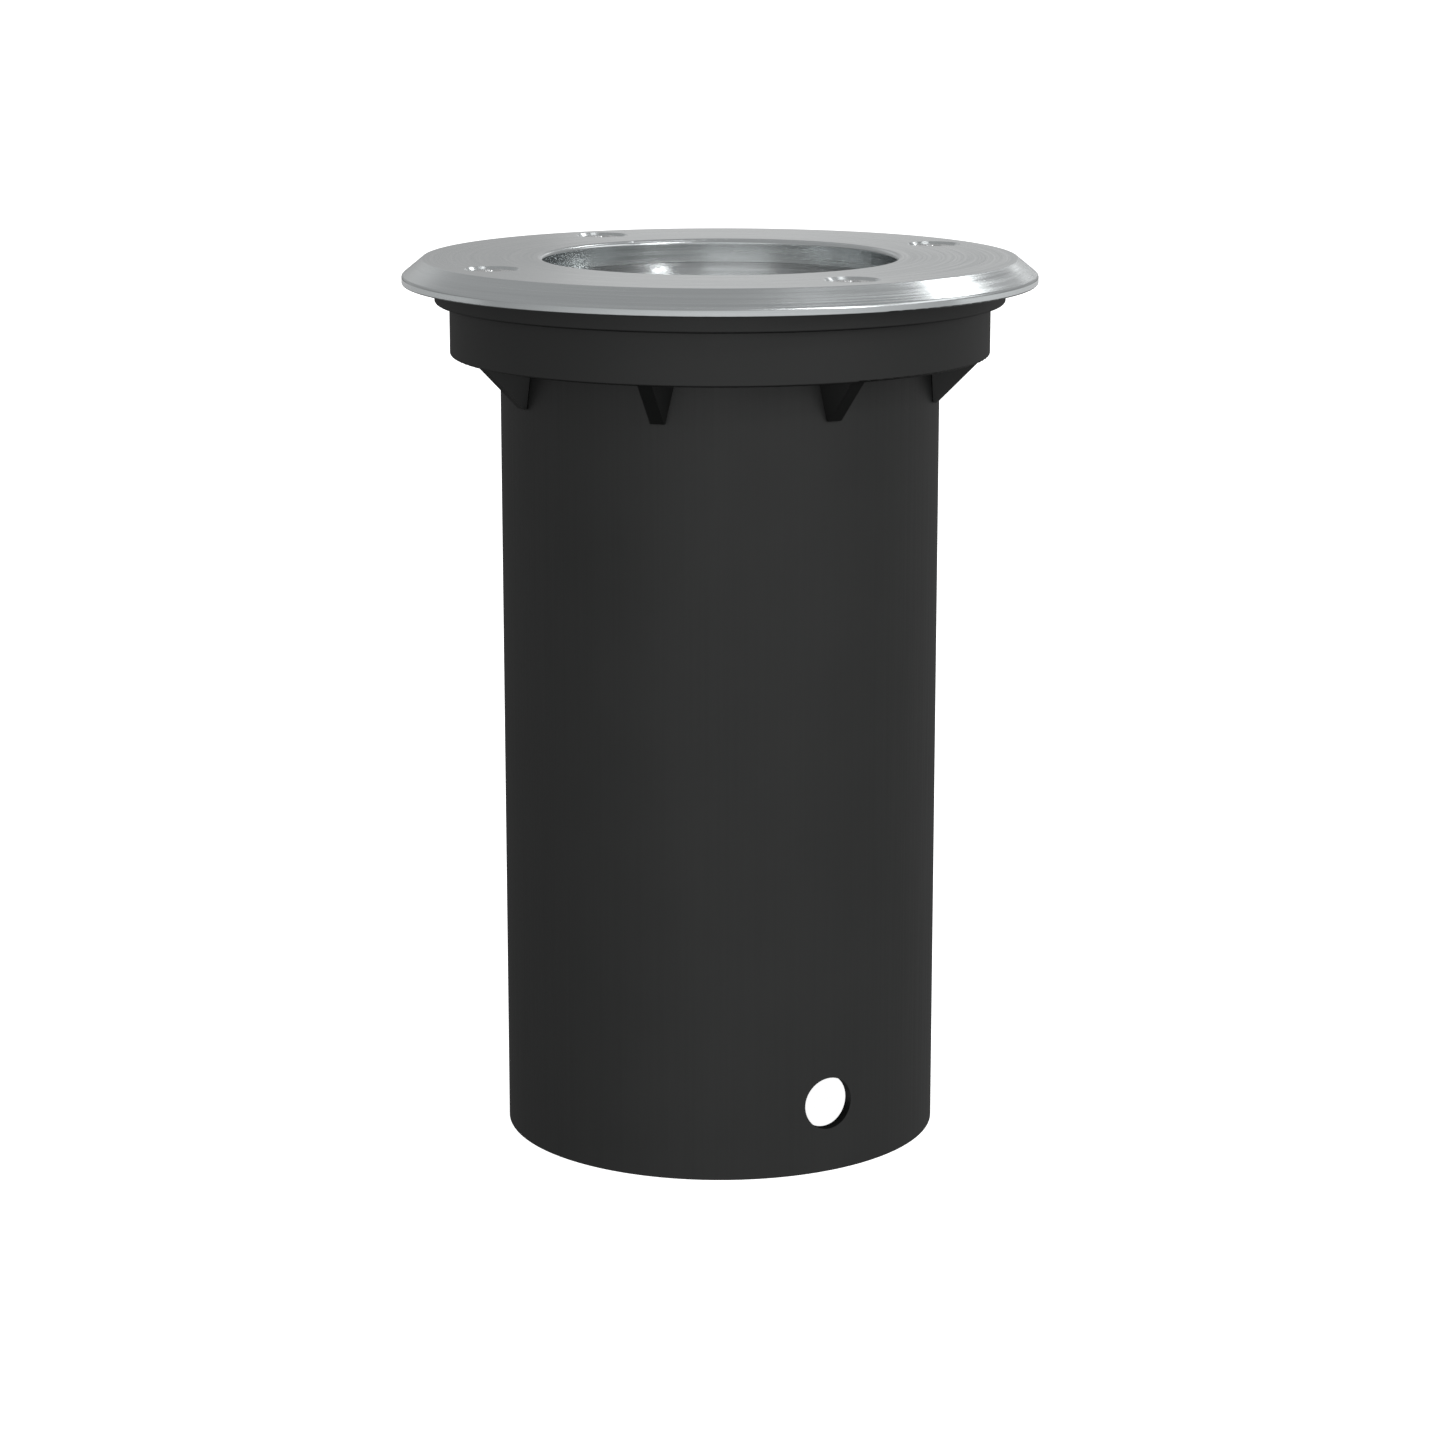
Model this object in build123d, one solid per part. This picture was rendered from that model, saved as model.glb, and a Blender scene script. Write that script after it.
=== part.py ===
from build123d import *
import math
import os

# In-ground light. Millimetres, z = 0 on the bottom rim of the pipe, z up, the cable hole faces -Y.

# Overall sizes. The lamp sets the can, and the can sets the pipe, which comes to 75 across.
overall_height = 152.0
cover_diameter = 108.0
lamp_diameter = 50.0

# Cover ring and its screws
cover_thickness = 4.2
cover_bevel_width = 3.5
cover_bevel_height = 2.85
cover_edge_radius = 0.25
cover_rim_radius = 0.6
aperture_diameter = 60.3
aperture_edge_radius = 0.8
screw_thread_diameter = 4.0
screw_head_diameter = 8.0
screw_length = 12.0
screw_socket_across = 2.5
screw_socket_depth = 1.8
screw_head_edge = 0.15
countersink_margin = 0.65
screw_count = 4

# Sleeve: the pipe and its collar
pipe_wall = 1.8
cable_hole_diameter = 9.0
cable_hole_height = 12.0
shoulder_width = 8.5
collar_height = 8.9
collar_wall = 2.0
lip_step = 2.5
lip_thickness = 3.2
shoulder_thickness = 2.6
spigot_wall = 1.6
spigot_length = 16.0
gusset_count = 8
gusset_height = 7.2
gusset_thickness = 2.4
gusset_root_thickness = 5.8
gusset_inset = 0.85
gusset_foot = 0.5
rib_thickness = 1.8
rib_drop = 1.5
boss_radius = 2.9
boss_inset = 0.1
boss_floor = 0.6
moulded_radius = 0.4
lip_radius = 0.4
pocket_radius = 0.8

# Glass and gasket
glass_thickness = 5.0
glass_edge = 0.5
glass_rise = 0.1
glass_rise_edge = 0.2
gasket_top_lip = 0.5
gasket_bottom_lip = 1.2
gasket_wall = 1.2
gasket_lip_width = 2.2

# Light unit
head_wall = 3.0
can_room = 5.2
can_wall = 3.1
can_draft = 0.6
can_floor = 3.0
can_corner = 3.0
reflector_ledge = 1.4
reflector_step = 1.6
reflector_sheet = 0.8
lamp_drop = 4.5
wiring_height = 16.0

# Lamp and its twist-lock socket
lamp_length = 46.0
lamp_rim = 6.0
lamp_base_diameter = 23.6
lamp_base_length = 9.0
lamp_neck_diameter = 31.0
lamp_swell = 0.62
optic_margin = 2.2
optic_thickness = 2.6
optic_sink = 0.6
optic_lens_radius = 4.6
optic_lens_sink = 3.0
optic_lens_circle = 13.0
optic_lens_count = 6
pin_spacing = 10.0
pin_neck_diameter = 3.0
pin_head_diameter = 5.0
pin_length = 7.2
pin_head_length = 2.6
twist_angle = 30.0
holder_diameter = 28.0
holder_height = 18.0
holder_plate = 3.6
holder_cavity = 9.0
holder_screw_circle = 18.4
holder_screw_seat = 6.0
contact_width = 3.0
contact_sheet = 0.5

# Bracket, terminals and earth
bracket_thickness = 1.2
bracket_width = 9.0
bracket_disc_diameter = 27.0
bracket_hole_diameter = 9.0
bracket_boss_radius = 3.5
bracket_boss_inset = 3.7
bracket_end = 3.2
small_thread_diameter = 3.0
small_head_diameter = 5.5
small_head_height = 2.0
small_screw_length = 10.0
slot_width = 0.8
slot_depth = 0.9
terminal_pitch = 8.0
terminal_count = 3
terminal_end = 1.0
terminal_depth = 12.0
terminal_height = 12.0
terminal_relief = 1.6
clamp_diameter = 4.4
clamp_bore = 2.8
clamp_length = 10.0
clamp_height = 4.5
clamp_screw_diameter = 2.2
clamp_screw_spacing = 5.0
clamp_screw_drop = 1.2
clamp_well_diameter = 3.6
lead_diameter = 1.8
lead_bend = 5.0
lead_drop = 5.3
lead_straight = 2.1
earth_lead_bend = 3.5
lead_entry = 0.6
lead_spacing = 4.0
earth_boss_radius = 3.5
earth_boss_height = 4.0
earth_place = (20.0, 7.0)
earth_tag_thickness = 0.8
earth_tag_diameter = 6.6
earth_tag_tail = 2.7

# Cable gland
gland_thread_diameter = 15.2
gland_hex = 22.0
gland_hex_height = 5.0
gland_washer_thickness = 1.0
gland_washer_margin = 3.0
gland_nut_height = 4.0
gland_thread_stand = 1.2
gland_lower_diameter = 17.2
gland_lower_length = 9.0
gland_bore = 10.4
gland_seal_bore = 8.0
gland_seal_wall = 2.4
gland_seal_depth = 6.5
gland_seal_stand = 2.4
gland_cap_length = 15.0
gland_cap_gap = 0.5
gland_cap_hole = 10.0
gland_cap_dome = 3.0

# Clearances
glue_gap = 0.05
thread_gap = 0.05
cone_gap = 0.07
hole_gap = 0.25
seat_gap = 0.1
lift_gap = 0.3
head_gap = 0.4
pipe_gap = 0.75
lamp_gap = 0.3

# Radii that follow, from the lamp out
lamp_r = lamp_diameter / 2
can_inner_r = lamp_r + can_room
can_r = can_inner_r + can_wall
spigot_inner_r = can_r + pipe_gap
spigot_r = spigot_inner_r + spigot_wall
pipe_inner_r = spigot_r + glue_gap
pipe_r = pipe_inner_r + pipe_wall
collar_r = pipe_r + shoulder_width
lip_r = collar_r + lip_step
pocket_r = collar_r - collar_wall
screw_circle_r = collar_r - boss_inset - boss_radius
cover_r = cover_diameter / 2
cover_flat_r = cover_r - cover_bevel_width
aperture_r = aperture_diameter / 2
screw_r = screw_thread_diameter / 2
screw_head_r = screw_head_diameter / 2
head_r = screw_circle_r - boss_radius - head_gap
recess_r = head_r - head_wall
gasket_r = recess_r - lift_gap
glass_r = gasket_r - gasket_wall - seat_gap
gasket_inner_r = glass_r - gasket_lip_width
can_low_r = can_r - can_draft
can_inner_low_r = can_low_r - can_wall
ledge_r = can_inner_r + reflector_ledge
lamp_base_r = lamp_base_diameter / 2
lamp_neck_r = lamp_neck_diameter / 2
optic_r = lamp_r - optic_margin
pin_circle_r = pin_spacing / 2
gland_r = gland_thread_diameter / 2
gland_lower_r = gland_lower_diameter / 2
gland_seal_r = gland_seal_bore / 2 + gland_seal_wall
bracket_boss_x = can_inner_low_r - bracket_boss_inset

# Heights that follow, from the top down
cover_under_z = overall_height - cover_thickness
cover_edge_z = overall_height - cover_bevel_height
lip_under_z = cover_under_z - lip_thickness
collar_under_z = lip_under_z - collar_height
shoulder_z = collar_under_z + shoulder_thickness
glass_top_z = cover_under_z - gasket_top_lip
glass_low_z = glass_top_z - glass_thickness
seat_z = glass_low_z - gasket_bottom_lip
ledge_z = seat_z - reflector_step
lamp_face_z = ledge_z - lamp_drop
lamp_base_z = lamp_face_z - lamp_length
holder_top_z = lamp_base_z - lamp_gap
holder_low_z = holder_top_z - holder_height
bracket_low_z = holder_low_z - bracket_thickness
floor_z = bracket_low_z - wiring_height
can_low_z = floor_z - can_floor
gland_hex_top_z = can_low_z - gland_washer_thickness
gland_hex_low_z = gland_hex_top_z - gland_hex_height
gland_low_z = gland_hex_low_z - gland_lower_length
gland_nut_top_z = floor_z + gland_nut_height
gland_top_z = gland_nut_top_z + gland_thread_stand
gland_cap_top_z = gland_hex_low_z - gland_cap_gap
gland_cap_low_z = gland_cap_top_z - gland_cap_length
# The head's cone lies a set distance inside the cone of the cover.
screw_cone_z = overall_height - countersink_margin + cone_gap * math.sqrt(2)
screw_top_z = screw_cone_z + screw_head_edge
screw_tip_z = screw_top_z - screw_length
terminal_top_z = floor_z + terminal_height
clamp_z = floor_z + clamp_height
cavity_top_z = holder_top_z - holder_plate
cavity_low_z = cavity_top_z - holder_cavity

# Terminal strip: its length, and how far back it stands so that its corners clear the can
terminal_length = terminal_count * terminal_pitch + 2 * terminal_end
terminal_corner_r = can_inner_low_r - head_gap
terminal_back_y = math.sqrt(terminal_corner_r**2 - (terminal_length / 2) ** 2)
terminal_y = terminal_back_y - terminal_depth / 2
terminal_front_y = terminal_back_y - terminal_depth
terminal_xs = [(k - (terminal_count - 1) / 2) * terminal_pitch for k in range(terminal_count)]

screw_names = ("front", "right", "back", "left")
quarter = 360.0 / screw_count


def rod(radius, low, high, x=0.0, y=0.0):
    """Upright cylinder between two heights."""
    length = high - low
    return Pos(x, y, low + length / 2) * Cylinder(radius, length)


def ring(outer, inner, low, high):
    """Upright tube between two heights."""
    return rod(outer, low, high) - rod(inner, low, high)


def turned(*points):
    """Solid of revolution about Z from a closed (radius, height) outline."""
    return revolve(make_face(Plane.XZ * Polyline(*points, close=True)), Axis.Z)


def hexagon(across, low, high):
    """Upright hexagonal prism, given across its flats."""
    outline = RegularPolygon(across / 2, 6, major_radius=False)
    return extrude(Pos(0, 0, low) * outline, high - low)


def hoops(solid, radius, height):
    """Circular edges of a turned solid at one radius and height."""
    near = 0.001
    found = []
    for edge in solid.edges().filter_by(GeomType.CIRCLE):
        same_radius = abs(edge.radius - radius) < near
        same_height = abs(edge.arc_center.Z - height) < near
        if same_radius and same_height:
            found.append(edge)
    return found


def softened(solid, radius, *places):
    """The solid with its hoops at the given (radius, height) places rounded."""
    edges = []
    for place in places:
        edges += hoops(solid, *place)
    return fillet(edges, radius)


def plate_rib(thickness, *points):
    """Upright plate in the XZ plane from a (radius, height) outline."""
    face = make_face(Plane.XZ * Polyline(*points, close=True))
    return extrude(face, thickness / 2, both=True)


def wedge_plan(inner, outer, inner_width, outer_width):
    """Flat outline along X that narrows from one radius to another."""
    corners = (
        (inner, -inner_width / 2),
        (outer, -outer_width / 2),
        (outer, outer_width / 2),
        (inner, inner_width / 2),
    )
    return make_face(Polyline(*corners, close=True))


def around(shape, count, start=0.0):
    """Copies of a shape spaced evenly about Z."""
    return [Rot(0, 0, start + k * 360.0 / count) * shape for k in range(count)]


def wire_along(diameter, bends, *points):
    """Round wire along the points, with a bend radius for each corner."""
    path = FilletPolyline(*points, radius=bends)
    section = Plane(origin=path @ 0, z_dir=path % 0) * Circle(diameter / 2)
    return sweep(section, path)


def slotted_screw(head_diameter, head_height, thread_diameter, length):
    """Slotted cheese-head screw with the underside of its head on z = 0."""
    head = rod(head_diameter / 2, 0, head_height)
    head = softened(head, moulded_radius, (head_diameter / 2, head_height))
    slot = Pos(0, 0, head_height) * Box(head_diameter, slot_width, 2 * slot_depth)
    return head + rod(thread_diameter / 2, -length, 0) - slot


def sleeve_pipe():
    body = ring(pipe_r, pipe_inner_r, 0, collar_under_z)
    hole = Pos(0, -pipe_r, cable_hole_height) * Rot(90, 0, 0)
    return body - hole * Cylinder(cable_hole_diameter / 2, pipe_r)


def sleeve_collar():
    spigot_low_z = collar_under_z - spigot_length
    body = turned(
        (spigot_inner_r, spigot_low_z),
        (spigot_r, spigot_low_z),
        (spigot_r, collar_under_z),
        (collar_r, collar_under_z),
        (collar_r, lip_under_z),
        (lip_r, lip_under_z),
        (lip_r, cover_under_z),
        (pocket_r, cover_under_z),
        (pocket_r, shoulder_z),
        (spigot_inner_r, shoulder_z),
    )
    body = softened(
        body,
        moulded_radius,
        (collar_r, collar_under_z),
        (lip_r, cover_under_z),
        (spigot_inner_r, shoulder_z),
    )
    body = softened(body, lip_radius, (lip_r, lip_under_z))
    body = softened(body, pocket_radius, (pocket_r, shoulder_z))
    gusset_r = pipe_r + glue_gap
    root_z = collar_under_z + shoulder_thickness / 2
    tip_z = collar_under_z - gusset_height
    root = wedge_plan(gusset_r, collar_r - gusset_inset, gusset_root_thickness, gusset_thickness)
    tip = wedge_plan(gusset_r, gusset_r + gusset_foot, gusset_thickness, gusset_thickness)
    gusset = loft([Pos(0, 0, tip_z) * tip, Pos(0, 0, collar_under_z) * root], ruled=True)
    gusset += extrude(Pos(0, 0, collar_under_z) * root, root_z - collar_under_z)
    body += around(gusset, gusset_count)
    rib_top_z = cover_under_z - rib_drop
    rib = plate_rib(
        rib_thickness,
        (head_r + head_gap, root_z),
        (pocket_r + collar_wall / 2, root_z),
        (pocket_r + collar_wall / 2, rib_top_z),
        (head_r + head_gap, rib_top_z),
    )
    body += around(rib, screw_count, quarter / 2)
    boss = rod(boss_radius, root_z, cover_under_z, screw_circle_r)
    body += around(boss, screw_count)
    pilot = rod(screw_r + thread_gap, shoulder_z + boss_floor, cover_under_z, screw_circle_r)
    for hole in around(pilot, screw_count):
        body -= hole
    return body


def cover_ring():
    body = turned(
        (aperture_r, cover_under_z),
        (cover_r, cover_under_z),
        (cover_r, cover_edge_z),
        (cover_flat_r, overall_height),
        (aperture_r, overall_height),
    )
    body = softened(
        body,
        cover_edge_radius,
        (cover_r, cover_under_z),
        (cover_flat_r, overall_height),
    )
    body = softened(body, cover_rim_radius, (cover_r, cover_edge_z))
    body = softened(body, aperture_edge_radius, (aperture_r, overall_height))
    mouth_r = screw_head_r + countersink_margin
    hole_r = screw_r + hole_gap
    cutter = turned(
        (0, cover_under_z),
        (hole_r, cover_under_z),
        (hole_r, overall_height - (mouth_r - hole_r)),
        (mouth_r, overall_height),
        (0, overall_height),
    )
    for hole in around(Pos(screw_circle_r, 0, 0) * cutter, screw_count):
        body -= hole
    return body


def cover_screw(index):
    body = turned(
        (0, screw_tip_z),
        (screw_r - moulded_radius, screw_tip_z),
        (screw_r, screw_tip_z + moulded_radius),
        (screw_r, screw_cone_z - (screw_head_r - screw_r)),
        (screw_head_r, screw_cone_z),
        (screw_head_r, screw_top_z),
        (0, screw_top_z),
    )
    body -= hexagon(screw_socket_across, screw_top_z - screw_socket_depth, screw_top_z)
    return Rot(0, 0, index * quarter - 90.0) * Pos(screw_circle_r, 0, 0) * body


def glass_lens():
    # The middle stands up into the cover's aperture, so that its face lies above the cover's underside.
    rise_r = aperture_r - hole_gap
    rise_z = cover_under_z + glass_rise
    body = rod(glass_r, glass_low_z, glass_top_z)
    rims = hoops(body, glass_r, glass_low_z) + hoops(body, glass_r, glass_top_z)
    body = chamfer(rims, glass_edge)
    body += rod(rise_r, glass_top_z, rise_z)
    return chamfer(hoops(body, rise_r, rise_z), glass_rise_edge)


def lens_gasket():
    groove_r = glass_r + seat_gap
    return turned(
        (gasket_inner_r, seat_z),
        (gasket_r, seat_z),
        (gasket_r, cover_under_z),
        (gasket_inner_r, cover_under_z),
        (gasket_inner_r, glass_top_z),
        (groove_r, glass_top_z),
        (groove_r, glass_low_z),
        (gasket_inner_r, glass_low_z),
    )


def lamp_housing():
    body = turned(
        (0, can_low_z),
        (can_low_r, can_low_z),
        (can_r, shoulder_z),
        (head_r, shoulder_z),
        (head_r, glass_top_z),
        (recess_r, glass_top_z),
        (recess_r, seat_z),
        (ledge_r, seat_z),
        (ledge_r, ledge_z),
        (can_inner_r, ledge_z),
        (can_inner_low_r, floor_z),
        (0, floor_z),
    )
    body = softened(body, can_corner, (can_low_r, can_low_z))
    body = softened(body, moulded_radius, (head_r, glass_top_z), (head_r, shoulder_z))
    web_width = 2 * small_thread_diameter
    web_length = can_inner_low_r + can_wall / 2 - bracket_boss_x
    web_height = bracket_low_z - floor_z + can_floor / 2
    web_z = bracket_low_z - web_height / 2
    web = Pos(bracket_boss_x + web_length / 2, 0, web_z) * Box(web_length, web_width, web_height)
    boss = rod(bracket_boss_radius, floor_z - can_floor / 2, bracket_low_z, bracket_boss_x)
    body += around(boss + web, 2)
    earth_top_z = floor_z + earth_boss_height
    body += rod(earth_boss_radius, floor_z - can_floor / 2, earth_top_z, *earth_place)
    pilot_r = small_thread_diameter / 2 + thread_gap
    pilot_low_z = bracket_low_z - small_screw_length
    for hole in around(rod(pilot_r, pilot_low_z, bracket_low_z, bracket_boss_x), 2):
        body -= hole
    body -= rod(pilot_r, floor_z - can_floor / 3, earth_top_z, *earth_place)
    body -= rod(gland_r + seat_gap, can_low_z, floor_z)
    return body


def reflector_ring():
    flange_r = ledge_r - lift_gap
    mouth_r = can_inner_r - reflector_sheet
    throat_r = lamp_r + reflector_sheet
    throat_z = lamp_face_z
    top_z = ledge_z + reflector_sheet
    return turned(
        (throat_r, throat_z),
        (throat_r + reflector_sheet, throat_z),
        (mouth_r + reflector_sheet / 2, ledge_z),
        (flange_r, ledge_z),
        (flange_r, top_z),
        (mouth_r - reflector_sheet / 2, top_z),
    )


def lamp_body():
    rim_z = lamp_face_z - lamp_rim
    neck_z = lamp_base_z + lamp_base_length
    middle_r = lamp_neck_r + (lamp_r - lamp_neck_r) * lamp_swell
    middle_z = (rim_z + neck_z) / 2
    recess_z = lamp_face_z - optic_sink - optic_thickness
    side = ThreePointArc((lamp_r, rim_z), (middle_r, middle_z), (lamp_neck_r, neck_z))
    lower = Polyline(
        (lamp_neck_r, neck_z),
        (lamp_base_r, neck_z),
        (lamp_base_r, lamp_base_z),
        (0, lamp_base_z),
    )
    upper = Polyline(
        (0, lamp_base_z),
        (0, recess_z),
        (optic_r + glue_gap, recess_z),
        (optic_r + glue_gap, lamp_face_z),
        (lamp_r, lamp_face_z),
        (lamp_r, rim_z),
    )
    body = revolve(make_face(Plane.XZ * (side + lower + upper)), Axis.Z)
    return softened(body, moulded_radius, (lamp_r, lamp_face_z), (lamp_base_r, lamp_base_z))


def lamp_optic():
    low_z = lamp_face_z - optic_sink - optic_thickness
    top_z = lamp_face_z - optic_sink
    body = rod(optic_r, low_z, top_z)
    ball = Pos(0, 0, top_z - optic_lens_sink) * Sphere(optic_lens_radius)
    dome = ball & rod(optic_lens_radius, low_z, lamp_face_z + optic_lens_radius)
    body += dome
    body += around(Pos(optic_lens_circle, 0, 0) * dome, optic_lens_count)
    return body


def lamp_pins():
    head_z = lamp_base_z - pin_length
    neck_z = head_z + pin_head_length
    pin = rod(pin_head_diameter / 2, head_z, neck_z)
    pin = softened(pin, moulded_radius, (pin_head_diameter / 2, head_z))
    pin += rod(pin_neck_diameter / 2, neck_z, lamp_base_z)
    return around(Pos(pin_circle_r, 0, 0) * pin, 2)


def arc_slot(width, low, high):
    """Curved slot that a lamp pin sweeps as the lamp twists."""
    path = CenterArc((0, 0), pin_circle_r, 0, twist_angle)
    return extrude(Pos(0, 0, low) * SlotArc(path, width), high - low)


def lamp_holder():
    body = rod(holder_diameter / 2, holder_low_z, holder_top_z)
    body = softened(body, pocket_radius, (holder_diameter / 2, holder_top_z))
    neck_slot = arc_slot(pin_neck_diameter + 2 * lamp_gap, cavity_top_z, holder_top_z)
    cavity = arc_slot(pin_head_diameter + 4 * lamp_gap, cavity_low_z, cavity_top_z)
    mouth = rod(pin_head_diameter / 2 + lamp_gap, cavity_top_z, holder_top_z, pin_circle_r)
    mouth = Rot(0, 0, twist_angle) * mouth
    for cutter in (neck_slot, cavity, mouth):
        for copy in around(cutter, 2):
            body -= copy
    seat_z_low = holder_low_z + holder_screw_seat
    bore_r = small_thread_diameter / 2 + hole_gap
    well_r = small_head_diameter / 2 + lift_gap
    fixing = rod(bore_r, holder_low_z, seat_z_low, 0, holder_screw_circle / 2)
    fixing += rod(well_r, seat_z_low, holder_top_z, 0, holder_screw_circle / 2)
    for copy in around(fixing, 2):
        body -= copy
    lead_r = lead_diameter / 2 + seat_gap
    for x in (-lead_spacing / 2, lead_spacing / 2):
        body -= rod(lead_r, holder_low_z, holder_low_z + lead_entry + lead_diameter, x)
    return body


def holder_contacts():
    length = pin_head_diameter
    rise = cavity_low_z + contact_sheet
    crest = lamp_base_z - pin_length - lamp_gap
    half = length / 2
    strip = plate_rib(
        contact_width,
        (-half, cavity_low_z),
        (half, cavity_low_z),
        (half, rise),
        (contact_sheet - half, rise),
        (half / 2, crest - contact_sheet),
        (half / 2, crest),
        (-half, rise),
    )
    return around(Pos(pin_circle_r, 0, 0) * Rot(0, 0, 90) * strip, 2)


def holder_bracket():
    reach = 2 * (bracket_boss_x + bracket_end)
    outline = SlotOverall(reach, bracket_width) + Circle(bracket_disc_diameter / 2)
    outline -= Circle(bracket_hole_diameter / 2)
    bore_r = small_thread_diameter / 2 + thread_gap
    clear_r = small_thread_diameter / 2 + hole_gap
    for side in (-1, 1):
        outline -= Pos(0, side * holder_screw_circle / 2) * Circle(bore_r)
        outline -= Pos(side * bracket_boss_x, 0) * Circle(clear_r)
    return extrude(Pos(0, 0, bracket_low_z) * outline, bracket_thickness)


def bracket_screws():
    length = small_screw_length - bracket_thickness
    screw = slotted_screw(small_head_diameter, small_head_height, small_thread_diameter, length)
    return around(Pos(bracket_boss_x, 0, holder_low_z) * screw, 2)


def holder_screws():
    length = holder_screw_seat + bracket_thickness + small_head_height
    screw = slotted_screw(small_head_diameter, small_head_height, small_thread_diameter, length)
    return around(Pos(0, holder_screw_circle / 2, holder_low_z + holder_screw_seat) * screw, 2)


def terminal_block():
    body = Pos(0, terminal_y, floor_z + terminal_height / 2)
    body = body * Box(terminal_length, terminal_depth, terminal_height)
    shelf_z = clamp_z + clamp_diameter / 2 + terminal_relief
    tower_width = terminal_pitch - terminal_relief
    trim = Pos(0, terminal_y, (shelf_z + terminal_top_z) / 2)
    body -= trim * Box(2 * terminal_length, 2 * terminal_depth, terminal_top_z - shelf_z)
    tunnel = Rot(90, 0, 0) * Cylinder(clamp_diameter / 2 + glue_gap, 2 * terminal_depth)
    for x in terminal_xs:
        tower = Pos(x, terminal_y, (clamp_z + terminal_top_z) / 2)
        body += tower * Box(tower_width, terminal_depth - terminal_relief, terminal_top_z - clamp_z)
    for x in terminal_xs:
        body -= Pos(x, terminal_y, clamp_z) * tunnel
        for side in (-1, 1):
            y = terminal_y + side * clamp_screw_spacing / 2
            body -= rod(clamp_well_diameter / 2, clamp_z, terminal_top_z, x, y)
    return body


def terminal_clamps():
    tube = Cylinder(clamp_diameter / 2, clamp_length) - Cylinder(clamp_bore / 2, clamp_length)
    tube = Rot(90, 0, 0) * tube
    clamps = []
    for x in terminal_xs:
        clamp = Pos(x, terminal_y, clamp_z) * tube
        for side in (-1, 1):
            y = terminal_y + side * clamp_screw_spacing / 2
            clamp -= rod(clamp_screw_diameter / 2 + thread_gap, clamp_z, terminal_top_z, x, y)
        clamps.append(clamp)
    return clamps


def terminal_screws():
    low_z = clamp_z + lead_diameter / 2
    top_z = terminal_top_z - clamp_screw_drop
    screw = rod(clamp_screw_diameter / 2, low_z, top_z)
    screw -= Pos(0, 0, top_z) * Box(clamp_screw_diameter, slot_width / 2, 2 * slot_width)
    places = [(x, side) for x in terminal_xs for side in (-1, 1)]
    return [Pos(x, terminal_y + side * clamp_screw_spacing / 2, 0) * screw for x, side in places]


def lamp_leads():
    start_z = holder_low_z + lead_entry
    end_y = terminal_y - seat_gap
    leads = []
    for x, pole in zip((-lead_spacing / 2, lead_spacing / 2), terminal_xs):
        points = (
            (x, 0, start_z),
            (x, 0, start_z - lead_drop),
            (pole, terminal_front_y - lead_straight, clamp_z),
            (pole, end_y, clamp_z),
        )
        leads.append(wire_along(lead_diameter, (lead_bend, lead_bend), *points))
    return leads


def earth_lead():
    pole = terminal_xs[-1]
    tag_x, tag_y = earth_place
    wire_z = floor_z + earth_boss_height + earth_tag_thickness + lead_diameter / 2
    points = (
        (pole, terminal_y - clamp_screw_spacing / 2, clamp_z),
        (pole, terminal_front_y - lead_straight / 2, clamp_z),
        (pole, tag_y, wire_z),
        (tag_x - earth_tag_diameter / 2, tag_y, wire_z),
    )
    return wire_along(lead_diameter, (lead_bend, earth_lead_bend), *points)


def earth_tag():
    low_z = floor_z + earth_boss_height
    bore_r = small_thread_diameter / 2 + hole_gap
    eye = Circle(earth_tag_diameter / 2)
    tail = Pos(-earth_tag_diameter / 2, 0) * Rectangle(earth_tag_diameter, earth_tag_tail)
    outline = eye + tail - Circle(bore_r)
    return extrude(Pos(earth_place[0], earth_place[1], low_z) * outline, earth_tag_thickness)


def earth_screw():
    length = earth_boss_height + earth_tag_thickness
    screw = slotted_screw(small_head_diameter, small_head_height, small_thread_diameter, length)
    top_z = floor_z + earth_boss_height + earth_tag_thickness
    return Pos(earth_place[0], earth_place[1], top_z) * screw


def gland_body():
    body = hexagon(gland_hex, gland_hex_low_z, gland_hex_top_z)
    body += rod(gland_r, gland_hex_top_z, gland_top_z)
    body += rod(gland_lower_r, gland_low_z, gland_hex_low_z)
    body -= rod(gland_bore / 2, gland_low_z, gland_top_z)
    body -= rod(gland_seal_r + seat_gap, gland_low_z, gland_low_z + gland_seal_depth)
    return body


def gland_washer():
    return ring(gland_r + gland_washer_margin, gland_r + seat_gap, gland_hex_top_z, can_low_z)


def gland_locknut():
    body = hexagon(gland_hex, floor_z, gland_nut_top_z)
    return body - rod(gland_r + thread_gap, floor_z, gland_nut_top_z)


def gland_seal():
    low_z = gland_low_z - gland_seal_stand
    top_z = gland_low_z + gland_seal_depth - seat_gap
    body = ring(gland_seal_r, gland_seal_bore / 2, low_z, top_z)
    return chamfer(hoops(body, gland_seal_r, low_z), gland_seal_wall / 2)


def gland_cap():
    body = hexagon(gland_hex, gland_cap_low_z, gland_cap_top_z)
    corner_r = gland_hex / math.sqrt(3)
    dome_r = gland_hex / 2 - gland_cap_dome / 2
    body &= turned(
        (0, gland_cap_low_z),
        (dome_r - gland_cap_dome / 2, gland_cap_low_z),
        (dome_r + gland_cap_dome / 2, gland_cap_low_z + gland_cap_dome),
        (corner_r, gland_cap_low_z + 2 * gland_cap_dome),
        (corner_r, gland_cap_top_z),
        (0, gland_cap_top_z),
    )
    shelf_z = gland_low_z - gland_seal_stand - lift_gap
    thread_r = gland_lower_r + thread_gap
    body -= rod(thread_r, gland_low_z - lift_gap, gland_cap_top_z)
    body -= rod(gland_seal_r + lift_gap, shelf_z, gland_cap_top_z)
    body -= rod(gland_cap_hole / 2, gland_cap_low_z, gland_cap_top_z)
    return body


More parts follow.
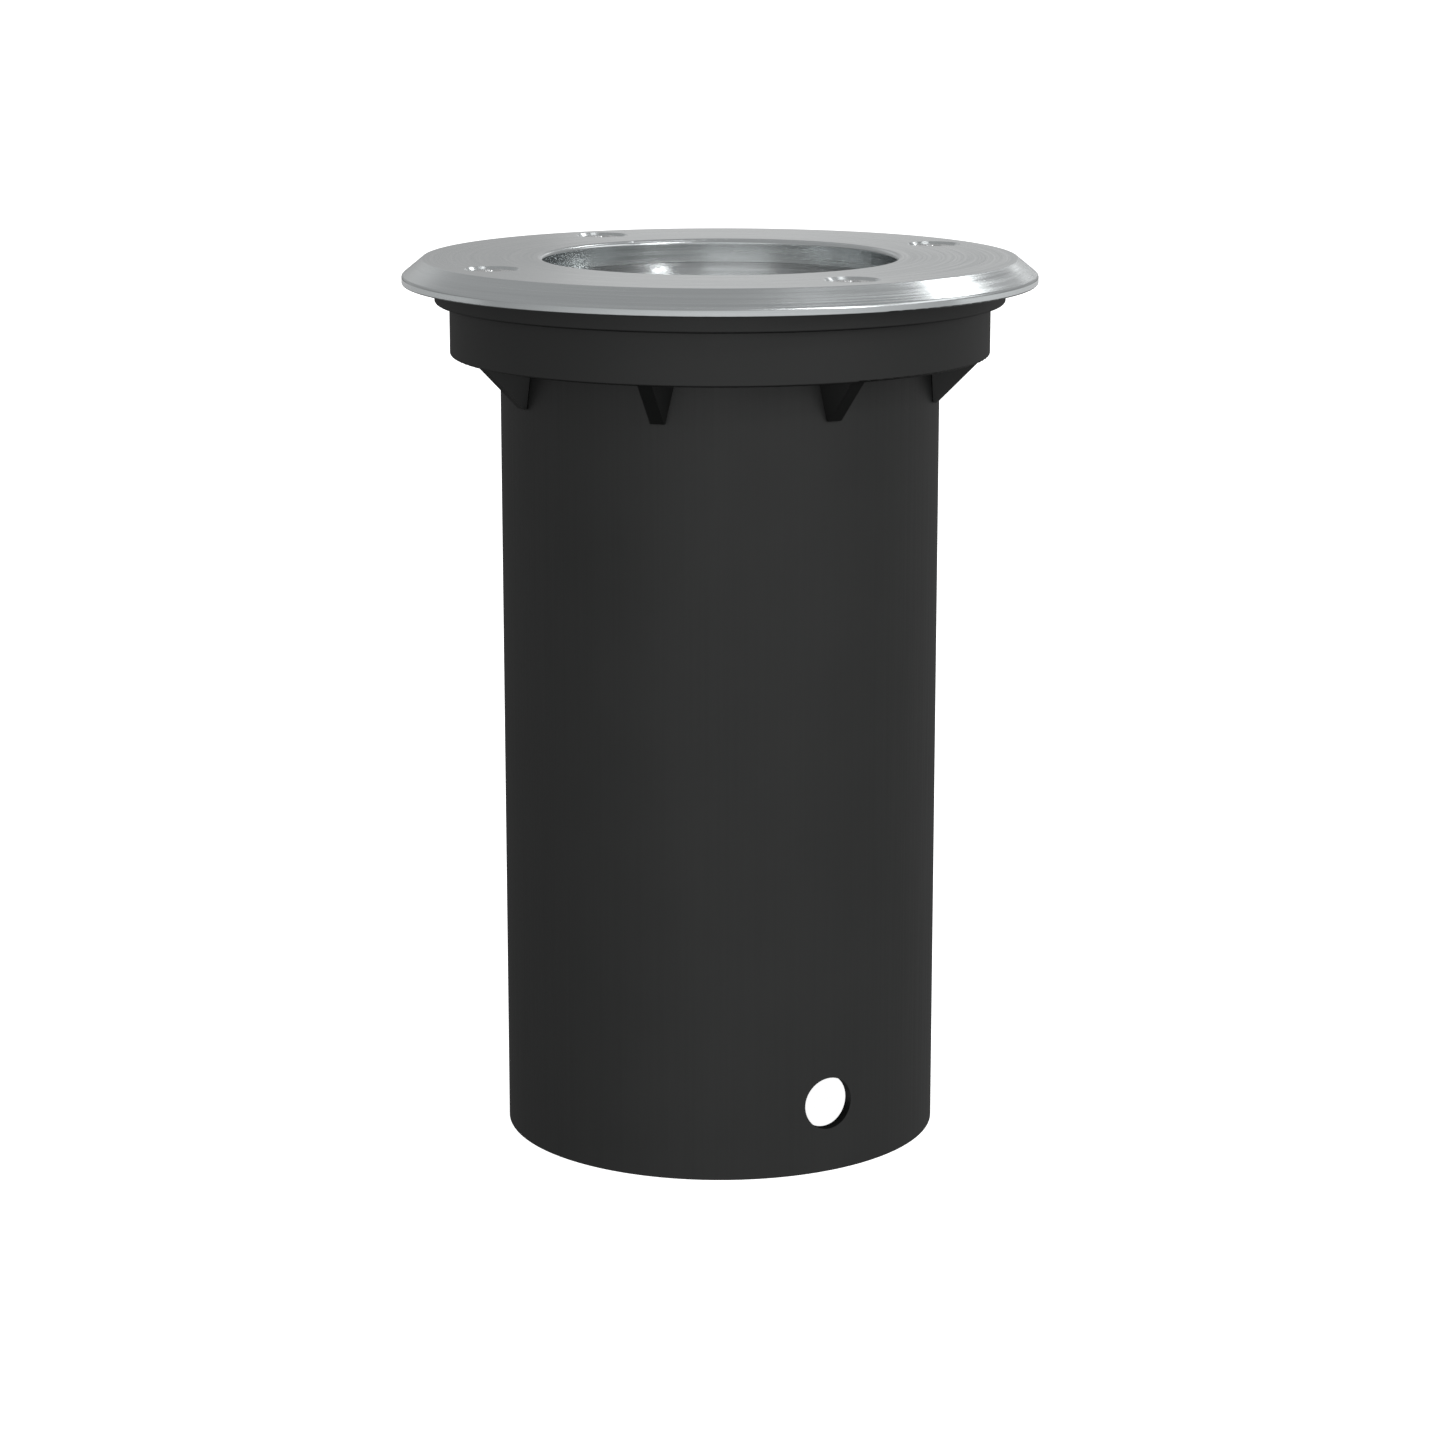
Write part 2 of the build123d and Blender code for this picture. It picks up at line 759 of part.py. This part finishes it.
def save(name, shape):
    """Writes one node, given as one shape or as a list of separate solids."""
    solids = shape if isinstance(shape, list) else [shape]
    solids = [solid for item in solids for solid in item.solids()]
    node = solids[0] if len(solids) == 1 else Compound(children=solids)
    export_step(node, os.path.join("parts", name + ".step"))


os.makedirs("parts", exist_ok=True)
makers = (
    sleeve_pipe,
    sleeve_collar,
    lamp_housing,
    reflector_ring,
    lamp_holder,
    holder_contacts,
    holder_bracket,
    bracket_screws,
    holder_screws,
    terminal_block,
    terminal_clamps,
    terminal_screws,
    lamp_leads,
    earth_lead,
    earth_tag,
    earth_screw,
    gland_body,
    gland_washer,
    gland_locknut,
    gland_seal,
    gland_cap,
    lamp_body,
    lamp_optic,
    lamp_pins,
    glass_lens,
    lens_gasket,
    cover_ring,
)
for maker in makers:
    save(maker.__name__, maker())
for index, side in enumerate(screw_names):
    save("cover_screw_" + side, cover_screw(index))
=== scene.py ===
import math

import bpy
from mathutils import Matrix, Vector


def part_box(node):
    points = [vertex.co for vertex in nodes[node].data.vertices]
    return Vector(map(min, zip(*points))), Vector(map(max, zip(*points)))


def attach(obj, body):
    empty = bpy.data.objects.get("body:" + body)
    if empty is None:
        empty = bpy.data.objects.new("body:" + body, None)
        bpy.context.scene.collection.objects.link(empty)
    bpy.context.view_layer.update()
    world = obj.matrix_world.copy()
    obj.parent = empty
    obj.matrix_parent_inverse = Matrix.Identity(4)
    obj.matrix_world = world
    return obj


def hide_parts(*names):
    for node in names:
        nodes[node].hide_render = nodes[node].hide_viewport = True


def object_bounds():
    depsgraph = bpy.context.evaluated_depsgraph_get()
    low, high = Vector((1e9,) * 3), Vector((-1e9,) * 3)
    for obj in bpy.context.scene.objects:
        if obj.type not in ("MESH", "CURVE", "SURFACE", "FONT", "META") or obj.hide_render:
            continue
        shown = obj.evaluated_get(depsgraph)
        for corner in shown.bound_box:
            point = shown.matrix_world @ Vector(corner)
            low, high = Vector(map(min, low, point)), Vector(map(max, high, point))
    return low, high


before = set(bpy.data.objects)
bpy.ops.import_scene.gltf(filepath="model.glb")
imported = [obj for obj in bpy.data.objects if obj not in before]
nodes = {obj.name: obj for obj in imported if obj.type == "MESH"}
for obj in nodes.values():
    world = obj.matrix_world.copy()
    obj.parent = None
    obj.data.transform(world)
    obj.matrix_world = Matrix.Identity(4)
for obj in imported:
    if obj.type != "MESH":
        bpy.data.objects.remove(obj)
cad_low, cad_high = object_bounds()

# Looks of an in-ground light: metres, z up, z = 0 on the floor that its pipe stands on.
mm = 0.001
axis_middle = Vector((0.0, 0.0, (cad_low.z + cad_high.z) / 2))

# Camera of the photograph: it stands to the left of the cable hole and looks down on the cover.
camera_azimuth = -29.5
camera_distance = 0.650
camera_height = 0.2175
camera_pitch = 12.68
camera_lens = 95.5
sensor_width = 36.0

# Cover screws, with a cut thread
screw_sides = ("front", "right", "back", "left")
screw_facets = 48
thread_pitch = 0.7 * mm
thread_depth = 0.40 * mm
thread_rows = 8
socket_across = 2.5 * mm
socket_depth = 1.8 * mm
socket_chamfer = 0.25 * mm
socket_margin = 0.06 * mm
head_edge = 0.08 * mm
head_crown = 0.18 * mm
crown_rings = 5
head_side = 0.15 * mm
shank_radius = 2.0 * mm
tip_chamfer = 0.4 * mm
sharp_angle = 38.0

# Leads: the two lamp leads lie on either side of a plane across the light, and the earth lead is striped.
lead_divide = -1.0 * mm
lead_blend = 0.02 * mm
stripe_length = 0.9 * mm

# Light levels: the sky's bands are (height from nadir 0 to zenith 1, brightness), and its flags are dark
# patches just above the horizon, to the left and right of the object.
floor_glow = 1.0
floor_size = 40.0
sky_turn = 12.0
front_bands = ((0.0, 0.04), (0.15, 0.05), (0.29, 0.75), (0.44, 0.85), (0.55, 0.76), (0.70, 0.46))
back_bands = ((0.0, 0.04), (0.375, 0.07), (0.48, 0.12), (0.515, 0.52), (0.62, 0.46))
flag_bands = ((0.0, 0.0), (0.48, 0.0), (0.52, 1.0), (0.60, 1.0), (0.65, 0.0))
flag_turn = 90.0
flag_grey = 0.25

# Studio lights: name, azimuth from the camera, elevation, distance, width, height, radiance
room_lights = (
    ("front_panel", -12.0, 8.0, 1.7, 1.4, 0.25, 0.75),
    ("key_light", 48.0, 22.0, 1.4, 0.25, 0.35, 6.0),
    ("rim_light", 39.0, 36.0, 1.4, 0.50, 0.10, 10.0),
    ("top_light", 95.0, 68.0, 1.4, 0.12, 0.40, 2.4),
    ("right_light", 88.0, 30.0, 1.4, 0.90, 0.40, 1.2),
    ("back_light", 136.5, 43.5, 1.4, 0.26, 0.22, 5.5),
    ("end_light", 159.5, 18.0, 1.4, 0.16, 0.16, 1.3),
    ("left_panel", -158.0, 22.0, 1.4, 0.40, 0.50, 0.20),
    ("back_panel", 171.0, 8.0, 2.0, 0.85, 0.50, 0.15),
)
# Low lights for the streak in the aperture and the sides of the rim
cover_lights = (
    ("streak_light", 41.0, 8.0, 1.4, 0.22, 0.06, 13.0),
    ("right_rim_light", 130.0, -2.0, 0.8, 1.3, 0.08, 0.58),
    ("left_rim_light", -130.0, -2.0, 0.8, 1.3, 0.08, 0.46),
)
# A light behind that shows the far side of the dark sleeve
sleeve_lights = (("far_light", 180.0, 8.0, 1.2, 0.5, 0.3, 6.5),)


def toward(azimuth, elevation):
    """Unit vector from the object, with azimuth 0 toward -Y and 90 toward +X."""
    turn = math.radians(azimuth)
    rise = math.radians(elevation)
    flat = math.cos(rise)
    return Vector((math.sin(turn) * flat, -math.cos(turn) * flat, math.sin(rise)))


class Finish:
    """One procedural material: a Principled shader and the nodes that vary it."""

    def __init__(self, name, **constants):
        self.material = bpy.data.materials.new(name)
        self.material.use_nodes = True
        self.tree = self.material.node_tree
        self.shader = self.tree.nodes["Principled BSDF"]
        for socket, value in constants.items():
            self.shader.inputs[socket.replace("_", " ")].default_value = value

    def add(self, kind, **settings):
        node = self.tree.nodes.new("ShaderNode" + kind)
        for key, value in settings.items():
            setattr(node, key, value)
        return node

    def feed(self, value, socket):
        """Gives a socket a constant or the output of another node."""
        if isinstance(value, bpy.types.NodeSocket):
            self.tree.links.new(value, socket)
        else:
            socket.default_value = value

    def math(self, operation, first, second=0.0):
        node = self.add("Math", operation=operation)
        self.feed(first, node.inputs[0])
        self.feed(second, node.inputs[1])
        return node.outputs["Value"]

    def vector(self, x, y, z):
        node = self.add("CombineXYZ")
        for socket, value in zip(node.inputs, (x, y, z)):
            self.feed(value, socket)
        return node.outputs["Vector"]

    def place(self):
        """Point on the piece, in metres, in the piece's own frame."""
        return self.add("TexCoord").outputs["Object"]

    def parts_of(self, point):
        node = self.add("SeparateXYZ")
        self.feed(point, node.inputs[0])
        return node.outputs

    def around_axis(self):
        """Radius, height and unit direction of a point about the piece's own Z axis."""
        x, y, z = self.parts_of(self.place())
        flat = self.vector(x, y, 0.0)
        length = self.add("VectorMath", operation="LENGTH")
        self.feed(flat, length.inputs[0])
        unit = self.add("VectorMath", operation="NORMALIZE")
        self.feed(flat, unit.inputs[0])
        unit_x, unit_y, _ = self.parts_of(unit.outputs["Vector"])
        return length.outputs["Value"], z, unit_x, unit_y

    def noise(self, point, scale, detail=4.0, roughness=0.55, w=None):
        node = self.add("TexNoise", noise_dimensions="3D" if w is None else "4D")
        self.feed(point, node.inputs["Vector"])
        if w is not None:
            self.feed(w, node.inputs["W"])
        node.inputs["Scale"].default_value = scale
        node.inputs["Detail"].default_value = detail
        node.inputs["Roughness"].default_value = roughness
        return node.outputs["Fac"]

    def turning_marks(self, line, drift):
        """Noise in fine lines that run round the axis: line is their spacing, drift their length."""
        radius, height, unit_x, unit_y = self.around_axis()
        across = self.math("DIVIDE", radius, line)
        up = self.math("DIVIDE", height, line)
        turn_x = self.math("DIVIDE", unit_x, drift)
        turn_y = self.math("DIVIDE", unit_y, drift)
        return self.noise(self.vector(across, turn_x, turn_y), scale=1.0, detail=3.0, roughness=0.6, w=up)

    def drawn_lines(self, count, length):
        """Noise in fine upright lines: count of them in a radian, fading over a length."""
        _, height, unit_x, unit_y = self.around_axis()
        turn_x = self.math("MULTIPLY", unit_x, count)
        turn_y = self.math("MULTIPLY", unit_y, count)
        up = self.math("DIVIDE", height, length)
        return self.noise(self.vector(turn_x, turn_y, up), scale=1.0, detail=3.0, roughness=0.6)

    def span(self, value, low, high, start=0.3, end=0.7):
        """A pattern value spread between two numbers."""
        node = self.add("MapRange")
        self.feed(value, node.inputs["Value"])
        for socket, number in zip(node.inputs[1:5], (start, end, low, high)):
            socket.default_value = number
        return node.outputs["Result"]

    def colours(self, value, low, high, start=0.3, end=0.7):
        """A pattern value spread between two colours."""
        node = self.add("ValToRGB")
        self.feed(value, node.inputs["Fac"])
        first, last = node.color_ramp.elements
        first.position = start
        first.color = (*low, 1.0)
        last.position = end
        last.color = (*high, 1.0)
        return node.outputs["Color"]

    def colour(self, value):
        self.feed(value, self.shader.inputs["Base Color"])

    def roughness(self, value):
        self.feed(value, self.shader.inputs["Roughness"])

    def bump(self, height, depth, strength=1.0):
        """Surface relief of a given depth in metres."""
        node = self.add("Bump")
        self.feed(height, node.inputs["Height"])
        node.inputs["Distance"].default_value = depth
        node.inputs["Strength"].default_value = strength
        self.feed(node.outputs["Normal"], self.shader.inputs["Normal"])


def brushed_steel():
    """Stainless cover, turned on a lathe: fine rings on its flat, bevel and bore."""
    finish = Finish("brushed_steel", Metallic=1.0, Anisotropic=0.4)
    tangent = finish.add("Tangent", direction_type="RADIAL", axis="Z")
    finish.feed(tangent.outputs["Tangent"], finish.shader.inputs["Tangent"])
    marks = finish.turning_marks(line=0.40 * mm, drift=0.9)
    finish.colour(finish.colours(marks, low=(0.535, 0.562, 0.57), high=(0.605, 0.632, 0.64)))
    finish.roughness(finish.span(marks, low=0.15, high=0.29))
    finish.bump(marks, depth=0.004 * mm, strength=0.4)
    return finish.material


def screw_steel():
    """Stainless screws, a little brighter than the cover."""
    finish = Finish("screw_steel", Metallic=1.0, Anisotropic=0.3)
    tangent = finish.add("Tangent", direction_type="RADIAL", axis="Z")
    finish.feed(tangent.outputs["Tangent"], finish.shader.inputs["Tangent"])
    marks = finish.turning_marks(line=0.15 * mm, drift=0.6)
    finish.colour(finish.colours(marks, low=(0.55, 0.56, 0.565), high=(0.66, 0.67, 0.675)))
    finish.roughness(finish.span(marks, low=0.20, high=0.32))
    finish.bump(marks, depth=0.006 * mm, strength=0.5)
    return finish.material


def drawn_pipe():
    """Black extruded plastic: faint upright die lines and a satin skin."""
    finish = Finish("drawn_pipe")
    lines = finish.drawn_lines(count=90.0, length=60 * mm)
    cloud = finish.noise(finish.place(), scale=45.0, detail=5.0)
    finish.colour(finish.colours(cloud, low=(0.010, 0.011, 0.0105), high=(0.014, 0.015, 0.0145)))
    finish.roughness(finish.span(lines, low=0.42, high=0.50))
    finish.bump(lines, depth=0.010 * mm, strength=0.4)
    return finish.material


def moulded_collar():
    """Black moulded plastic with a fine even grain."""
    finish = Finish("moulded_collar")
    grain = finish.noise(finish.place(), scale=5200.0, detail=3.0)
    cloud = finish.noise(finish.place(), scale=70.0, detail=4.0)
    finish.colour(finish.colours(cloud, low=(0.010, 0.011, 0.0105), high=(0.014, 0.015, 0.0145)))
    finish.roughness(finish.span(cloud, low=0.42, high=0.50))
    finish.bump(grain, depth=0.015 * mm, strength=0.3)
    return finish.material


def coated_casting():
    """Die-cast can under a dark powder coat with its slight orange peel."""
    finish = Finish("coated_casting", Specular_IOR_Level=0.4)
    peel = finish.noise(finish.place(), scale=1400.0, detail=3.0)
    cloud = finish.noise(finish.place(), scale=60.0, detail=4.0)
    finish.colour(finish.colours(cloud, low=(0.030, 0.031, 0.032), high=(0.042, 0.043, 0.044)))
    finish.roughness(finish.span(peel, low=0.42, high=0.55))
    finish.bump(peel, depth=0.04 * mm, strength=0.4)
    return finish.material


def spun_reflector():
    """Bright anodised aluminium, spun."""
    finish = Finish("spun_reflector", Metallic=1.0)
    marks = finish.turning_marks(line=0.3 * mm, drift=0.8)
    finish.colour(finish.colours(marks, low=(0.78, 0.78, 0.77), high=(0.88, 0.88, 0.87)))
    finish.roughness(finish.span(marks, low=0.14, high=0.24))
    finish.bump(marks, depth=0.008 * mm, strength=0.4)
    return finish.material


def speckled(name, dark, light, rough, grain_scale, spread=0.06, **constants):
    """Plain moulded or fired material: small specks of colour over a fine grain."""
    finish = Finish(name, **constants)
    specks = finish.noise(finish.place(), scale=grain_scale, detail=5.0)
    finish.colour(finish.colours(specks, dark, light))
    finish.roughness(finish.span(specks, rough - spread, rough + spread))
    finish.bump(specks, depth=0.02 * mm, strength=0.3)
    return finish.material


def clear_glass():
    """Toughened glass with a faint film of dust."""
    finish = Finish("clear_glass", Transmission_Weight=1.0, IOR=1.5)
    film = finish.noise(finish.place(), scale=160.0, detail=6.0)
    finish.colour(finish.colours(film, low=(0.93, 0.96, 0.95), high=(0.97, 0.99, 0.98)))
    finish.roughness(finish.span(film, low=0.01, high=0.06))
    return finish.material


def pressed_optic():
    """Pressed plastic over the lamp's chips, slightly milky and frosted."""
    finish = Finish("pressed_optic", Transmission_Weight=0.35, IOR=1.49)
    frost = finish.noise(finish.place(), scale=900.0, detail=4.0)
    finish.colour(finish.colours(frost, low=(0.86, 0.86, 0.82), high=(0.94, 0.94, 0.90)))
    finish.roughness(finish.span(frost, low=0.12, high=0.24))
    finish.bump(frost, depth=0.01 * mm, strength=0.3)
    return finish.material


def sleeved_leads():
    """Two insulated leads, one brown and one blue, told apart by the side they leave on."""
    finish = Finish("sleeved_leads", Specular_IOR_Level=0.4)
    x, _, _ = finish.parts_of(finish.place())
    side = finish.span(x, low=0.0, high=1.0, start=lead_divide - lead_blend, end=lead_divide + lead_blend)
    brown = (0.16, 0.060, 0.022)
    blue = (0.020, 0.075, 0.28)
    finish.colour(finish.colours(side, brown, blue, start=0.45, end=0.55))
    dust = finish.noise(finish.place(), scale=600.0, detail=4.0)
    finish.roughness(finish.span(dust, low=0.38, high=0.52))
    finish.bump(dust, depth=0.01 * mm, strength=0.3)
    return finish.material


def striped_earth():
    """Green and yellow insulation, striped along the lead."""
    finish = Finish("striped_earth", Specular_IOR_Level=0.4)
    x, y, z = finish.parts_of(finish.place())
    lean = finish.math("ADD", finish.math("ADD", x, y), z)
    wave = finish.math("SINE", finish.math("DIVIDE", lean, stripe_length))
    green = (0.05, 0.26, 0.045)
    yellow = (0.72, 0.55, 0.03)
    finish.colour(finish.colours(wave, green, yellow, start=0.42, end=0.58))
    dust = finish.noise(finish.place(), scale=600.0, detail=4.0)
    finish.roughness(finish.span(dust, low=0.38, high=0.52))
    finish.bump(dust, depth=0.01 * mm, strength=0.3)
    return finish.material


def screw_rows(head_radius, length):
    """Rings of points of a countersunk screw, from its socket over the head to its tip.

    Each ring is (height below the top, radius at an angle)."""

    def circle(radius):
        return lambda angle: radius

    def hexagon(across):
        sector = math.pi / 3
        return lambda angle: across / 2 / math.cos(angle % sector - sector / 2)

    def thread(below, cut):
        def radius(angle):
            phase = (below / thread_pitch + angle / math.tau) % 1.0
            return shank_radius - cut * abs(2 * phase - 1)

        return radius

    def crown(radius):
        return -head_crown * (1 - (radius / crown_radius) ** 2)

    cone_end = head_side + head_radius - shank_radius
    crown_radius = head_radius - head_edge
    mouth_radius = socket_across / math.sqrt(3) + socket_margin
    rows = [
        (socket_depth, hexagon(socket_across)),
        (crown(mouth_radius) + socket_chamfer, hexagon(socket_across)),
    ]
    for k in range(crown_rings + 1):
        radius = mouth_radius + (crown_radius - mouth_radius) * k / crown_rings
        rows.append((crown(radius), circle(radius)))
    rows += [
        (head_edge, circle(head_radius)),
        (head_side, circle(head_radius)),
        (cone_end, circle(shank_radius)),
    ]
    start = cone_end + thread_pitch / 2
    count = math.ceil((length - tip_chamfer - start) / thread_pitch * thread_rows)
    step = (length - tip_chamfer - start) / count
    for k in range(count + 1):
        cut = thread_depth * min(1.0, k / thread_rows)
        rows.append((start + k * step, thread(start + k * step, cut)))
    rows.append((length, circle(shank_radius - thread_depth - tip_chamfer / 2)))
    return rows


def threaded_screw(side, material):
    """Cover screw with a cut thread, in the place of its plain solid."""
    node = "cover_screw_" + side
    low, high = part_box(node)
    middle = (low + high) / 2
    rows = screw_rows((high.x - low.x) / 2, high.z - low.z)
    points = []
    for below, radius in rows:
        for k in range(screw_facets):
            angle = math.tau * k / screw_facets
            reach = radius(angle)
            points.append((reach * math.cos(angle), reach * math.sin(angle), -below))
    socket_centre = len(points)
    points.append((0.0, 0.0, -socket_depth))
    tip_centre = len(points)
    points.append((0.0, 0.0, -rows[-1][0]))
    faces = []
    last = (len(rows) - 1) * screw_facets
    for k in range(screw_facets):
        after = (k + 1) % screw_facets
        faces.append((socket_centre, k, after))
        faces.append((tip_centre, last + after, last + k))
        for row in range(len(rows) - 1):
            here = row * screw_facets
            there = here + screw_facets
            faces.append((here + k, there + k, there + after, here + after))
    mesh = bpy.data.meshes.new("threaded_screw_" + side)
    mesh.from_pydata(points, [], faces)
    mesh.shade_smooth()
    mesh.set_sharp_from_angle(angle=math.radians(sharp_angle))
    piece = bpy.data.objects.new("threaded_screw_" + side, mesh)
    piece.location = (middle.x, middle.y, high.z)
    bpy.context.scene.collection.objects.link(piece)
    mesh.materials.append(material)
    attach(piece, "screw_" + side)
    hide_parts(node)


def dress(material, *names):
    """Gives CAD nodes a material on their own slots."""
    for name in names:
        mesh = nodes[name].data
        mesh.materials.clear()
        mesh.materials.append(material)


def finish_nodes():
    zinc = speckled("zinc_plate", (0.50, 0.51, 0.53), (0.64, 0.65, 0.66), 0.32, 900.0, Metallic=1.0)
    brass = speckled("spring_brass", (0.60, 0.42, 0.17), (0.74, 0.55, 0.26), 0.28, 700.0, Metallic=1.0)
    steatite = speckled("steatite", (0.70, 0.68, 0.62), (0.80, 0.78, 0.73), 0.42, 1100.0)
    nylon = speckled("natural_nylon", (0.66, 0.65, 0.60), (0.76, 0.75, 0.71), 0.40, 500.0)
    gland_black = speckled("gland_black", (0.014, 0.014, 0.015), (0.022, 0.022, 0.023), 0.40, 800.0)
    rubber = speckled("seal_rubber", (0.010, 0.010, 0.010), (0.018, 0.018, 0.018), 0.72, 1600.0)
    shell = speckled("lamp_shell", (0.74, 0.74, 0.73), (0.82, 0.82, 0.81), 0.36, 900.0)
    pins = speckled("nickel_pins", (0.56, 0.55, 0.52), (0.68, 0.67, 0.64), 0.24, 800.0, Metallic=1.0)
    dress(drawn_pipe(), "sleeve_pipe")
    dress(moulded_collar(), "sleeve_collar")
    dress(coated_casting(), "lamp_housing")
    dress(spun_reflector(), "reflector_ring")
    dress(steatite, "lamp_holder")
    dress(brass, "holder_contacts", "terminal_clamps", "earth_tag")
    dress(zinc, "holder_bracket", "bracket_screws", "holder_screws", "terminal_screws", "earth_screw")
    dress(nylon, "terminal_block")
    dress(sleeved_leads(), "lamp_leads")
    dress(striped_earth(), "earth_lead")
    dress(gland_black, "gland_body", "gland_locknut", "gland_cap")
    dress(rubber, "gland_washer", "gland_seal", "lens_gasket")
    dress(shell, "lamp_body")
    dress(pressed_optic(), "lamp_optic")
    dress(pins, "lamp_pins")
    dress(clear_glass(), "glass_lens")
    # The glass lets the lights through to the lamp under it.
    nodes["glass_lens"].visible_shadow = False
    dress(brushed_steel(), "cover_ring")
    steel = screw_steel()
    for side in screw_sides:
        threaded_screw(side, steel)


def pale_floor():
    """White floor, bright enough to read as the photograph's plain ground."""
    mesh = bpy.data.meshes.new("floor")
    half = floor_size / 2
    corners = [(-half, -half, 0), (half, -half, 0), (half, half, 0), (-half, half, 0)]
    mesh.from_pydata(corners, [], [(0, 1, 2, 3)])
    floor = bpy.data.objects.new("floor", mesh)
    bpy.context.scene.collection.objects.link(floor)
    finish = Finish("pale_floor", Roughness=0.9, Emission_Strength=floor_glow)
    finish.shader.inputs["Base Color"].default_value = (0.8, 0.8, 0.8, 1.0)
    finish.shader.inputs["Emission Color"].default_value = (1.0, 1.0, 1.0, 1.0)
    mesh.materials.append(finish.material)
    floor.visible_diffuse = False
    floor.visible_glossy = False


class Sky:
    """World shader nodes that shade a direction by its height and its azimuth."""

    def __init__(self, name):
        self.world = bpy.data.worlds.new(name)
        self.world.use_nodes = True
        self.tree = self.world.node_tree
        self.way = self.add("TexCoord").outputs["Generated"]

    def add(self, kind, **settings):
        node = self.tree.nodes.new("ShaderNode" + kind)
        for key, value in settings.items():
            setattr(node, key, value)
        return node

    def link(self, output, socket):
        self.tree.links.new(output, socket)

    def share(self, signed):
        """Takes a value from -1 to 1 to the range 0 to 1."""
        node = self.add("MapRange")
        node.inputs["From Min"].default_value = -1.0
        self.link(signed, node.inputs["Value"])
        return node.outputs["Result"]

    def height(self):
        """Height of the direction, from nadir 0 to zenith 1."""
        node = self.add("SeparateXYZ")
        self.link(self.way, node.inputs[0])
        return self.share(node.outputs["Z"])

    def facing(self, azimuth):
        """How far the direction turns toward an azimuth, from -1 to 1."""
        node = self.add("VectorMath", operation="DOT_PRODUCT")
        self.link(self.way, node.inputs[0])
        node.inputs[1].default_value = toward(azimuth, 0.0)
        return node.outputs["Value"]

    def product(self, first, second):
        node = self.add("Math", operation="MULTIPLY")
        self.link(first, node.inputs[0])
        self.link(second, node.inputs[1])
        return node.outputs["Value"]

    def ramp(self, height, bands):
        """Grey that follows the height of the direction, band by band."""
        node = self.add("ValToRGB")
        self.link(height, node.inputs["Fac"])
        stops = node.color_ramp.elements
        stops.remove(stops[1])
        stops[0].position = bands[0][0]
        stops[0].color = (bands[0][1],) * 3 + (1.0,)
        for position, grey in bands[1:]:
            stops.new(position).color = (grey, grey, grey, 1.0)
        return node.outputs["Color"]

    def blend(self, share, first):
        """Mix node from a first colour to one that is still to be set."""
        node = self.add("MixRGB")
        self.link(share, node.inputs["Fac"])
        self.link(first, node.inputs["Color1"])
        return node


def studio_sky():
    """Soft grey surround, lighter on the photograph's side and darker at the flags, with a white ground
    behind the object."""
    sky = Sky("studio")
    bpy.context.scene.world = sky.world
    height = sky.height()
    front = sky.share(sky.facing(camera_azimuth + sky_turn))
    surround = sky.blend(front, sky.ramp(height, back_bands))
    sky.link(sky.ramp(height, front_bands), surround.inputs["Color2"])
    side = sky.facing(camera_azimuth + flag_turn)
    flag = sky.product(sky.product(side, side), sky.ramp(height, flag_bands))
    shaded = sky.blend(flag, surround.outputs["Color"])
    shaded.inputs["Color2"].default_value = (flag_grey, flag_grey, flag_grey, 1.0)
    light = sky.tree.nodes["Background"]
    sky.link(shaded.outputs["Color"], light.inputs["Color"])
    ground = sky.add("Background")
    ground.inputs["Color"].default_value = (1.0, 1.0, 1.0, 1.0)
    mix = sky.add("MixShader")
    sky.link(sky.add("LightPath").outputs["Is Camera Ray"], mix.inputs["Fac"])
    sky.link(light.outputs["Background"], mix.inputs[1])
    sky.link(ground.outputs["Background"], mix.inputs[2])
    sky.link(mix.outputs["Shader"], sky.tree.nodes["World Output"].inputs["Surface"])


def softbox(name, azimuth, elevation, distance, width, height, radiance):
    """Area light aimed at the object; azimuth 0 is the photograph's side, 90 to its right."""
    lamp = bpy.data.lights.new(name, "AREA")
    lamp.shape = "RECTANGLE"
    lamp.size = width
    lamp.size_y = height
    lamp.energy = radiance * math.pi * width * height
    light = bpy.data.objects.new(name, lamp)
    way = toward(camera_azimuth + azimuth, elevation)
    light.location = axis_middle + way * distance
    light.rotation_euler = way.to_track_quat("Z", "Y").to_euler()
    light.visible_camera = False
    bpy.context.scene.collection.objects.link(light)
    return light


def light_only(lights, *receivers):
    """Adds softboxes that fall on some CAD nodes only."""
    lit = bpy.data.collections.new("lit_" + receivers[0])
    for receiver in receivers:
        lit.objects.link(nodes[receiver])
    for settings in lights:
        softbox(*settings).light_linking.receiver_collection = lit


def studio_lights():
    for settings in room_lights:
        softbox(*settings)
    light_only(cover_lights, "cover_ring")
    light_only(sleeve_lights, "sleeve_pipe", "sleeve_collar")


def photo_camera():
    data = bpy.data.cameras.new("photo_camera")
    data.sensor_width = sensor_width
    data.lens = camera_lens
    camera = bpy.data.objects.new("photo_camera", data)
    spot = toward(camera_azimuth, 0.0) * camera_distance
    camera.location = (spot.x, spot.y, camera_height)
    look = -toward(camera_azimuth, camera_pitch)
    camera.rotation_euler = look.to_track_quat("-Z", "Y").to_euler()
    bpy.context.scene.collection.objects.link(camera)
    bpy.context.scene.camera = camera


bpy.context.scene.view_settings.view_transform = "Standard"
photo_camera()
finish_nodes()
pale_floor()
studio_sky()
studio_lights()
